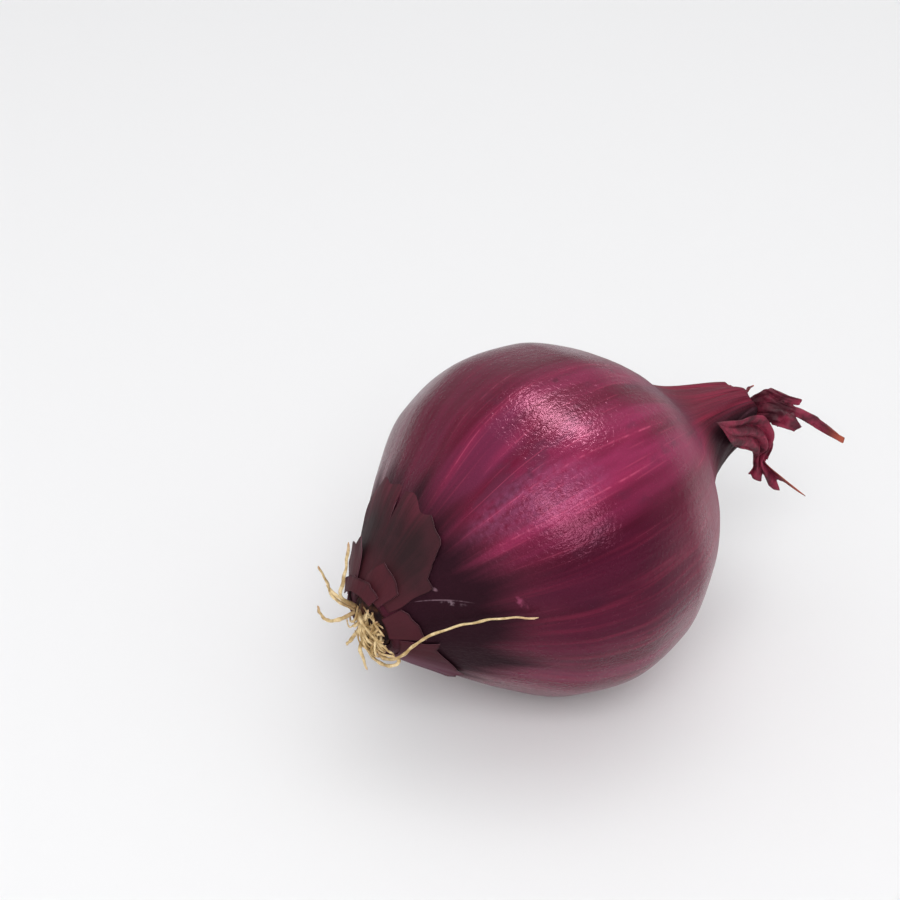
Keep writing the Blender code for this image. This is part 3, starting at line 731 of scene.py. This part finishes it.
def root_plate(finish):
    """Rings: s = .4 - 2.2 sin(pi k / 2), radius 5.6 cos(pi k / 2) + .05, k from 0 to 1, and bumps."""
    angle = np.linspace(0, 2 * math.pi, PLATE_SIDES, endpoint=False)
    share = np.linspace(0, 1, 20)
    radius = PLATE_RADIUS * np.cos(share * math.pi / 2) + 0.05
    s = 0.4 - 2.2 * np.sin(share * math.pi / 2)
    bumps = 0.15 * np.sin(9 * angle[None, :] + 5 * share[:, None]) * np.sin(4 * share[:, None])
    points = around(s[:, None] + bumps, angle[None, :], radius[:, None])
    points = np.concatenate([around(1.2, angle, PLATE_RADIUS)[None], points])
    faces = grid_quads(len(points), PLATE_SIDES, closed=True)[:, ::-1].tolist()
    faces.append(list(range(PLATE_SIDES)))
    faces.append(list(range((len(points) - 1) * PLATE_SIDES, len(points) * PLATE_SIDES))[::-1])
    new_piece("root_plate", points.reshape(-1, 3), faces, finish, "root",
              along=np.zeros(len(points) * PLATE_SIDES))


def leaf(name, columns, seed, finish, crinkle, fold, dim):
    """A dry leaf end over columns of points, each smooth, shortened a little unevenly, and crinkled.

    A point moves along the sheet's normal by crinkle (ripple(u) + ripple(v) + .7 ripple(2 v)) / 1.6
    + fold (|sin(1.2 u + 1.5 sin 5v)| - .6), with u across the sheet and v along it.
    """
    columns = np.array(columns, float)
    fine = smooth_path(np.swapaxes(columns, 0, 1), 10)
    fine = np.swapaxes(fine, 0, 1)
    share = np.linspace(0, len(fine) - 1, (len(fine) - 1) * 8 + 1)
    low = np.minimum(share.astype(int), len(fine) - 2)
    part = (share - low)[:, None, None]
    dense = fine[low] * (1 - part) + fine[low + 1] * part
    rows = dense.shape[1]
    keep = 1 - 0.02 * np.clip(ripple(share * 2.3, seed), 0, 2)
    at_row = np.linspace(0, 1, rows)[None, :] * keep[:, None] * (rows - 1)
    under = np.minimum(at_row.astype(int), rows - 2)
    part = (at_row - under)[..., None]
    index = np.arange(len(dense))[:, None]
    grid = dense[index, under] * (1 - part) + dense[index, under + 1] * part
    normal = unit(np.cross(np.gradient(grid, axis=0), np.gradient(grid, axis=1)))
    v = np.linspace(0, 1, rows)[None, :]
    across = share[:, None]
    wave = (ripple(across * 1.5 + v * 2, seed + 1) + ripple(v * 14 + across * 0.6, seed + 2)
            + 0.7 * ripple(v * 30 - across * 0.9, seed + 3)) / 1.6
    wave = crinkle * wave + fold * (np.abs(np.sin(1.2 * across + 1.5 * np.sin(5 * v))) - 0.6)
    grid = grid + normal * (wave * np.clip(v * 3, 0, 1))[..., None]
    points, faces = shell(grid, LEAF_THICKNESS)
    length = np.linalg.norm(np.diff(grid, axis=1), axis=-1).sum(1)
    tip = v ** 3 * np.clip(length / length.max(), 0, 1)[:, None] ** 2
    spread = np.stack([np.broadcast_to(share[:, None] * 0.03, tip.shape), 0 * tip,
                       np.broadcast_to(v * 0.6, tip.shape)], -1).reshape(-1, 3)
    # dim: painted shade at the leaf's foot, full there and gone past about three fifths of its length.
    new_piece("dry_" + name, points, faces, finish, "withered_leaf", (name,),
              place=np.tile(spread, (2, 1)), tip=np.tile(tip.ravel(), 2),
              dim=np.tile(np.broadcast_to(dim * np.clip(1.6 - 2.6 * v, 0, 1), tip.shape).ravel(), 2))


def mouth_leaf(name, base, mouth, fringe, seed, finish):
    """A leaf end out of the neck's cup; fringe holds the last points of each of its columns."""
    columns = []
    for share, ends in zip(np.linspace(0.0, 1.0, len(fringe)), fringe):
        stem = [np.array(edges[0]) + (np.array(edges[1]) - np.array(edges[0])) * share
                for edges in (base, mouth)]
        columns.append([*stem, *[np.array(end) for end in ends]])
    leaf(name, columns, seed, finish, 0.36, 0.5, 1.0)


def upper_leaf(finish):
    """The leaf end that leaves the neck's mouth and splits into a thin, a long and a blunt finger."""
    fringe = [
        [(59.8, -4.8, 51.2), (61.0, -6.2, 51.2), (62.6, -7.6, 50.6)],
        [(60.2, -5.2, 50.6), (63.4, -8.0, 49.6), (66.4, -10.2, 48.4)],
        [(60.4, -5.6, 49.6), (63.2, -8.2, 48.6), (66.0, -10.4, 47.3)],
        [(60.4, -6.2, 49.0), (61.8, -7.6, 48.6), (63.2, -9.0, 48.0)],
        [(60.6, -7.0, 48.2), (68.2, -12.8, 44.8), (75.0, -17.0, 38.0)],
        [(60.6, -7.6, 47.2), (67.2, -12.6, 43.2), (74.6, -16.8, 36.9)],
        [(60.4, -8.0, 46.6), (62.2, -9.6, 46.2), (63.6, -10.8, 45.6)],
        [(60.2, -8.4, 46.2), (62.4, -11.0, 45.6), (64.0, -13.2, 43.6)],
        [(59.4, -8.2, 44.8), (60.8, -10.4, 43.8), (62.4, -12.6, 42.3)],
        [(58.8, -6.6, 43.8), (59.4, -7.8, 43.6), (60.2, -9.2, 43.2)],
    ]
    mouth_leaf("withered_leaf_upper", ((52, -1.6, 47.6), (52, -1.6, 43.2)),
               ((57.2, -2.0, 48.0), (57.2, -2.6, 42.6)), fringe, 31, finish)


def inner_leaf(finish):
    """The dry stump that stands in the neck's mouth, on its far side."""
    fringe = [[(61.2, 1.2, 48.6)], [(63.2, 1.8, 47.4)], [(60.8, 2.2, 45.8)], [(62.4, 2.0, 44.0)],
              [(60.2, 1.2, 42.8)]]
    mouth_leaf("withered_leaf_inner", ((52, 0.9, 47.4), (52, 0.9, 43.4)),
               ((57.2, 1.0, 47.8), (57.2, 1.0, 42.4)), fringe, 41, finish)


def lower_leaf(finish):
    """The scrap peeled off the neck: flat on its side, then hanging in a strip with a torn end."""
    rows = [((39.0, -9.8, 53.0), (39.8, -11.0, 51.8)), ((43.0, -9.6, 51.6), (42.0, -11.9, 47.8)),
            ((47.0, -9.2, 50.0), (45.2, -11.2, 44.6)), ((51.0, -8.6, 49.2), (49.0, -10.4, 42.0)),
            ((55.0, -8.6, 47.4), (52.2, -9.8, 39.6)), ((58.0, -10.2, 43.0), (53.6, -8.8, 38.0)),
            ((58.2, -10.4, 39.7), (53.9, -8.4, 37.0)), ((57.0, -10.0, 36.8), (54.2, -8.4, 35.4)),
            ((57.2, -10.2, 34.2), (54.6, -8.4, 33.6))]
    ends = [(65.4, -15.9, 25.6), (61.1, -12.5, 28.6), (60.2, -12.3, 26.9), (58.3, -10.9, 27.7),
            (57.2, -10.2, 31.9), (56.6, -9.6, 29.5), (54.8, -8.3, 30.5), (53.9, -7.7, 31.8)]
    bend_radius = 9.0
    columns = [[] for _ in ends]
    for upper, lower in rows:
        upper, lower = np.array(upper), np.array(lower)
        middle = (upper + lower) / 2
        outward = middle - ROOT_END - AXIS * ((middle - ROOT_END) @ AXIS)
        outward /= np.linalg.norm(outward)
        bulge = bend_radius - math.sqrt(bend_radius ** 2 - (np.linalg.norm(lower - upper) / 2) ** 2)
        for column, share in zip(columns, np.linspace(0.0, 1.0, len(ends))):
            column.append(upper + (lower - upper) * share + outward * bulge * 4 * share * (1 - share))
    leaf("withered_leaf_lower", [[*column, np.array(end)] for column, end in zip(columns, ends)],
         51, finish, 0.4, 1.3, 0.0)


# Room

FLOOR_HALF = 15.0
FLOOR_TONE = (0.86, 0.86, 0.87, 1)
SKY_LEAN = (-0.05, -0.07, 1.0)
SKY_HEIGHTS = (-0.05, 0.5)
SKY_STRENGTHS = (0.5, 0.66)
LIT_POINT = np.array([-2.0, 0.0, 42.0]) * MM
PICTURE_RIGHT = (0.804, -0.595, 0.0)
# Each light: where it stands as seen from the onion, distance, width, depth, power, lights, shines
LIGHTS = {
    "top_light": ((0.22, 0.1, 0.97), 2.5, 2.2, 1.6, 7.0, True, True),
    "front_light": ((-0.42, -0.52, 0.745), 1.6, 1.2, 0.9, 13.4, True, False),
    "upper_highlight": ((0.24, 0.18, 0.945), 2.5, 1.5, 0.4, 88.0, False, True),
    "front_highlight": ((-0.48, -0.64, 0.62), 1.1, 0.75, 0.22, 7.6, False, True),
}
CAMERA_PLACE = (-0.19233, -0.22408, 0.26257)
CAMERA_TURN = (math.radians(55), 0.0, math.radians(-36.5))
CAMERA_LENS, CAMERA_SENSOR = 68.0, 36.0


def pale_floor():
    """A plain white floor under the onion, wide enough to reach the horizon."""
    floor = bpy.data.meshes.new("floor")
    half = FLOOR_HALF
    floor.from_pydata([(-half, -half, 0), (half, -half, 0), (half, half, 0), (-half, half, 0)], [],
                      [(0, 1, 2, 3)])
    white = Tree("floor")
    white.shader.inputs["Base Color"].default_value = FLOOR_TONE
    white.shader.inputs["Roughness"].default_value = 0.9
    floor.materials.append(white.material)
    stage = bpy.data.objects.new("floor", floor)
    bpy.context.scene.collection.objects.link(stage)


def white_sky():
    """An even white all round, a little stronger overhead than at the horizon."""
    world = bpy.data.worlds.new("studio")
    world.use_nodes = True
    sky = world.node_tree
    toward = sky.nodes.new("ShaderNodeVectorMath")
    toward.operation = "DOT_PRODUCT"
    toward.inputs[1].default_value = SKY_LEAN
    sky.links.new(sky.nodes.new("ShaderNodeTexCoord").outputs["Generated"], toward.inputs[0])
    glow = sky.nodes.new("ShaderNodeMapRange")
    glow.interpolation_type = "SMOOTHSTEP"
    for number, value in enumerate((*SKY_HEIGHTS, *SKY_STRENGTHS), 1):
        glow.inputs[number].default_value = value
    sky.links.new(toward.outputs["Value"], glow.inputs[0])
    sky.links.new(glow.outputs[0], sky.nodes["Background"].inputs[1])
    sky.nodes["Background"].inputs[0].default_value = (1, 1, 1, 1)
    bpy.context.scene.world = world
    bpy.context.scene.view_settings.view_transform = "Standard"


def soft_lights():
    """The two lights that light the onion, and the two that only make highlights on its skin."""
    for name, (direction, distance, width, depth, power, lights, shines) in LIGHTS.items():
        data = bpy.data.lights.new(name, "AREA")
        data.shape, data.size, data.size_y, data.energy = "RECTANGLE", width, depth, power
        light = bpy.data.objects.new(name, data)
        light.visible_diffuse, light.visible_glossy = lights, shines
        away = unit(np.array(direction))
        across = unit(np.array(PICTURE_RIGHT))
        across = unit(across - away * (across @ away))
        matrix = np.eye(4)
        matrix[:3, 0], matrix[:3, 1], matrix[:3, 2] = across, np.cross(away, across), away
        matrix[:3, 3] = LIT_POINT + away * distance
        light.matrix_world = matrix.T
        bpy.context.scene.collection.objects.link(light)


def picture_camera():
    """The camera, where the photograph was taken from."""
    data = bpy.data.cameras.new("camera")
    data.lens, data.sensor_width = CAMERA_LENS, CAMERA_SENSOR
    camera = bpy.data.objects.new("camera", data)
    camera.location = CAMERA_PLACE
    camera.rotation_euler = CAMERA_TURN
    bpy.context.scene.collection.objects.link(camera)
    bpy.context.scene.camera = camera


pale_floor()
white_sky()
soft_lights()
picture_camera()
bulb(bulb_material())
scraps(scrap_material("torn skin", TORN_SKIN_TONES, 0.68),
       scrap_material("root scale", ROOT_SCALE_TONES, 0.62))
roots(root_material())
root_plate(plate_material())
withered = leaf_material()
upper_leaf(withered)
inner_leaf(withered)
lower_leaf(withered)
